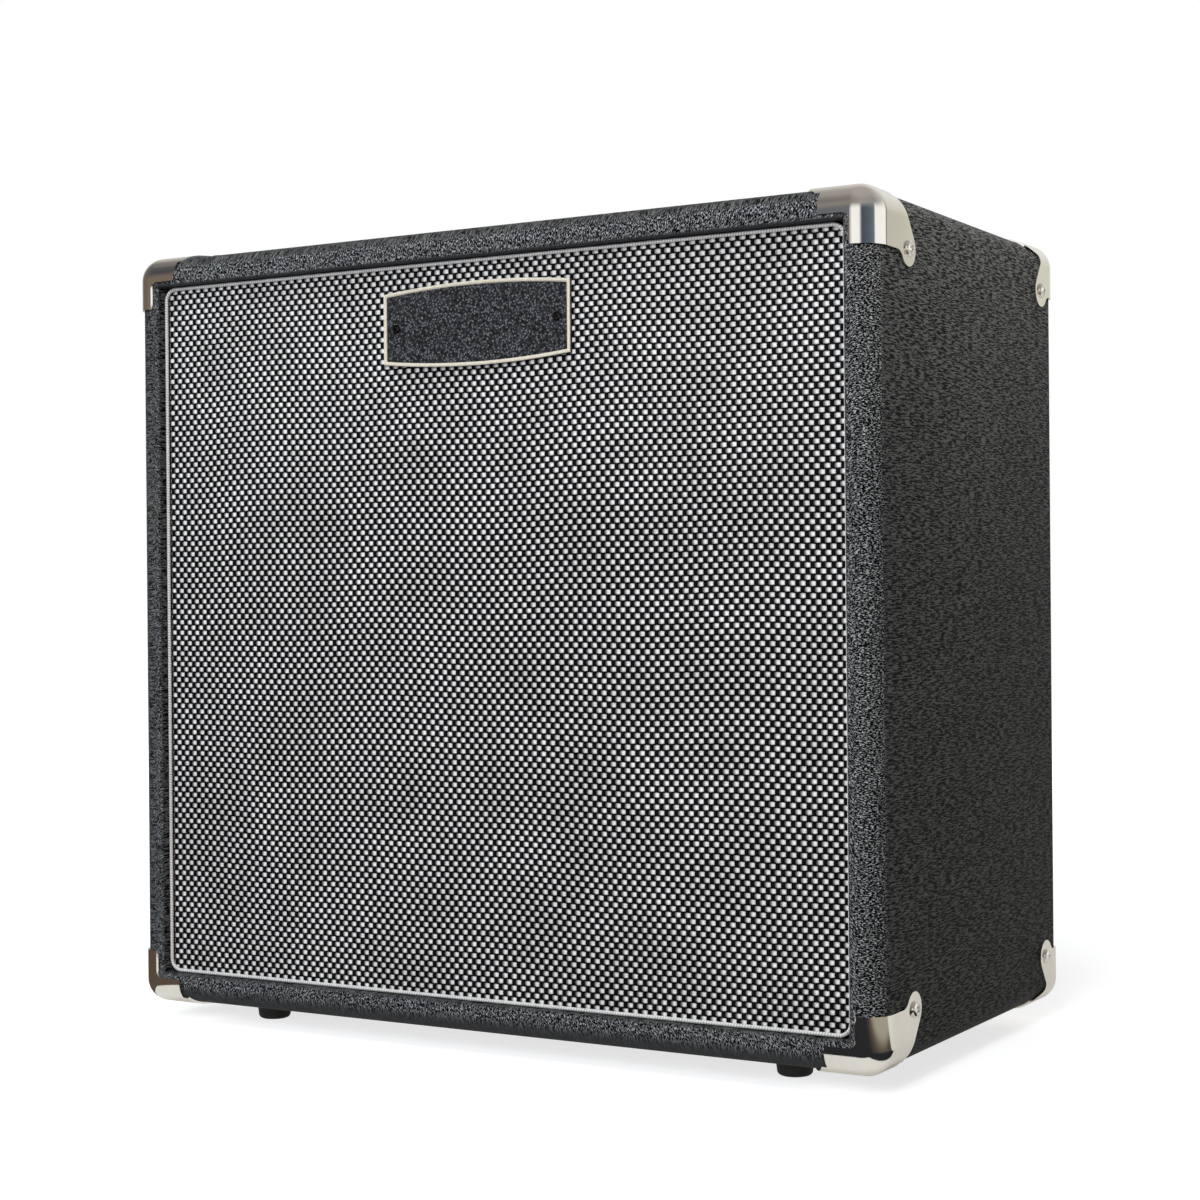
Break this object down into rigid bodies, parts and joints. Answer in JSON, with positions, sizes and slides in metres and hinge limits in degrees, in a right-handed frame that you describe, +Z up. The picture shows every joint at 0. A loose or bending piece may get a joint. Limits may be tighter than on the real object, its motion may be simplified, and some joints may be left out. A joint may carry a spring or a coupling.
{
  "type": "guitar speaker cabinet",
  "caption": "Upright covered speaker cabinet with a woven cloth grille, pressed corner protectors, a part-open back and a strap handle, for playing an electric guitar through.",
  "frame": {"origin": "on the floor, under the middle of the cabinet", "axes": "+X to the right seen from the front, +Y to the back, +Z up"},
  "size_m": [0.4566, 0.2522, 0.4436],
  "materials": {
    "vinyl": "grained black covering, matte",
    "plywood": "bare birch plywood",
    "softwood": "bare planed softwood",
    "nickel": "bright nickel plate",
    "rubber": "black moulded rubber",
    "zinc_steel": "zinc plated steel",
    "grille_cloth": "woven black and silver yarn",
    "piping": "silver white vinyl piping",
    "hook_and_loop": "black hook and loop tape",
    "badge": "black field inside a champagne rim",
    "badge_screw": "bright plated",
    "basket_paint": "black paint on pressed steel",
    "gasket": "pressed paper card",
    "cone_paper": "pressed paper pulp",
    "spider_cloth": "varnished woven cloth",
    "former": "amber polyimide film",
    "copper": "copper wire",
    "ferrite": "fired ferrite, dull black",
    "fibre_board": "brown fibre board",
    "jack_plastic": "black moulded body",
    "lead_red": "red insulation",
    "lead_black": "black insulation"
  },
  "bodies": {
    "cabinet": {"back_battens": "softwood", "back_panel_screws": "zinc_steel", "back_panel_vinyl": "vinyl", "badge_plate": "badge", "badge_screws": "badge_screw", "baffle_battens": "softwood", "baffle_board": "plywood", "baffle_screws": "zinc_steel", "bottom_panel": "plywood", "corner_front_bottom_left": "nickel", "corner_front_bottom_right": "nickel", "corner_front_top_left": "nickel", "corner_front_top_right": "nickel", "corner_rear_bottom_left": "nickel", "corner_rear_bottom_right": "nickel", "corner_rear_top_left": "nickel", "corner_rear_top_right": "nickel", "corner_screws": "nickel", "foot_front_left": "rubber", "foot_front_right": "rubber", "foot_rear_left": "rubber", "foot_rear_right": "rubber", "foot_screws": "zinc_steel", "grille_cloth": "grille_cloth", "grille_piping": "piping", "grille_rails": "softwood", "grille_stiles": "softwood", "handle_cap_left": "nickel", "handle_cap_right": "nickel", "handle_screws": "nickel", "hook_and_loop_pads": "hook_and_loop", "jack_nut": "nickel", "jack_socket": "jack_plastic", "left_side_panel": "plywood", "lower_back_panel": "plywood", "magnet_ring": "ferrite", "magnet_top_plate": "zinc_steel", "magnet_yoke": "zinc_steel", "right_side_panel": "plywood", "speaker_basket": "basket_paint", "speaker_bolts": "zinc_steel", "speaker_gasket": "gasket", "speaker_lead_black": "lead_black", "speaker_lead_red": "lead_red", "speaker_tee_nuts": "zinc_steel", "spider": "spider_cloth", "surround": "cone_paper", "terminal_board": "fibre_board", "tinsel_leads": "copper", "top_panel": "plywood", "upper_back_panel": "plywood", "vinyl_covering": "vinyl"},
    "cone": {"cone": "cone_paper", "dust_cap": "cone_paper", "voice_coil_former": "former", "voice_coil": "copper"},
    "handle": {"handle_grip": "rubber", "handle_spring_strip": "zinc_steel"}
  },
  "joints": [
    {"name": "cone_travel", "type": "slide", "parent": "cabinet", "child": "cone", "axis": [0, 1, 0], "range_m": [-0.003, 0.003], "stiffness_N_per_m": 2500, "deforming": ["surround", "spider", "tinsel_leads"]},
    {"name": "handle_lift", "type": "slide", "parent": "cabinet", "child": "handle", "axis": [0, 0, 1], "range_m": [0, 0.018], "deforming": ["handle_spring_strip"]}
  ]
}
